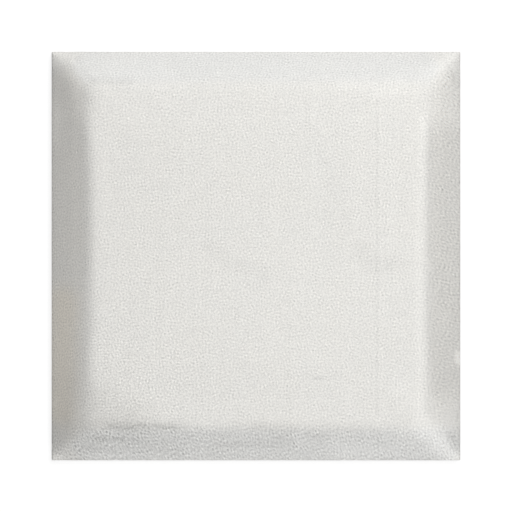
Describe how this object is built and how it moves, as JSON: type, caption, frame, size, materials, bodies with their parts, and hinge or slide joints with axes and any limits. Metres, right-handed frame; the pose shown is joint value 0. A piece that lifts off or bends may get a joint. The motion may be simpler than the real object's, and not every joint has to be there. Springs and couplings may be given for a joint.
{
  "type": "upholstered acoustic panel",
  "caption": "Square upholstered acoustic wall panel: pale velvet stretched over bevelled foam on a backing board, stapled behind.",
  "frame": {"origin": "middle of the panel's back, in the plane of the hem's underside", "axes": "+Z out of the padded front; X and Y along the panel's edges, +Y towards the picture's top"},
  "size_m": [0.3, 0.3, 0.04],
  "materials": {
    "velvet": "matte",
    "foam": "matte",
    "board": "matte",
    "staple_wire": "satin"
  },
  "bodies": {
    "root": {"backing_board": "board", "foam_pad": "foam", "staple_corner_1": "staple_wire", "staple_corner_2": "staple_wire", "staple_corner_3": "staple_wire", "staple_corner_4": "staple_wire", "staple_side_1_1": "staple_wire", "staple_side_1_2": "staple_wire", "staple_side_1_3": "staple_wire", "staple_side_1_4": "staple_wire", "staple_side_1_5": "staple_wire", "staple_side_1_6": "staple_wire", "staple_side_2_1": "staple_wire", "staple_side_2_2": "staple_wire", "staple_side_2_3": "staple_wire", "staple_side_2_4": "staple_wire", "staple_side_2_5": "staple_wire", "staple_side_2_6": "staple_wire", "staple_side_3_1": "staple_wire", "staple_side_3_2": "staple_wire", "staple_side_3_3": "staple_wire", "staple_side_3_4": "staple_wire", "staple_side_3_5": "staple_wire", "staple_side_3_6": "staple_wire", "staple_side_4_1": "staple_wire", "staple_side_4_2": "staple_wire", "staple_side_4_3": "staple_wire", "staple_side_4_4": "staple_wire", "staple_side_4_5": "staple_wire", "staple_side_4_6": "staple_wire", "velvet_cover": "velvet"}
  },
  "joints": []
}
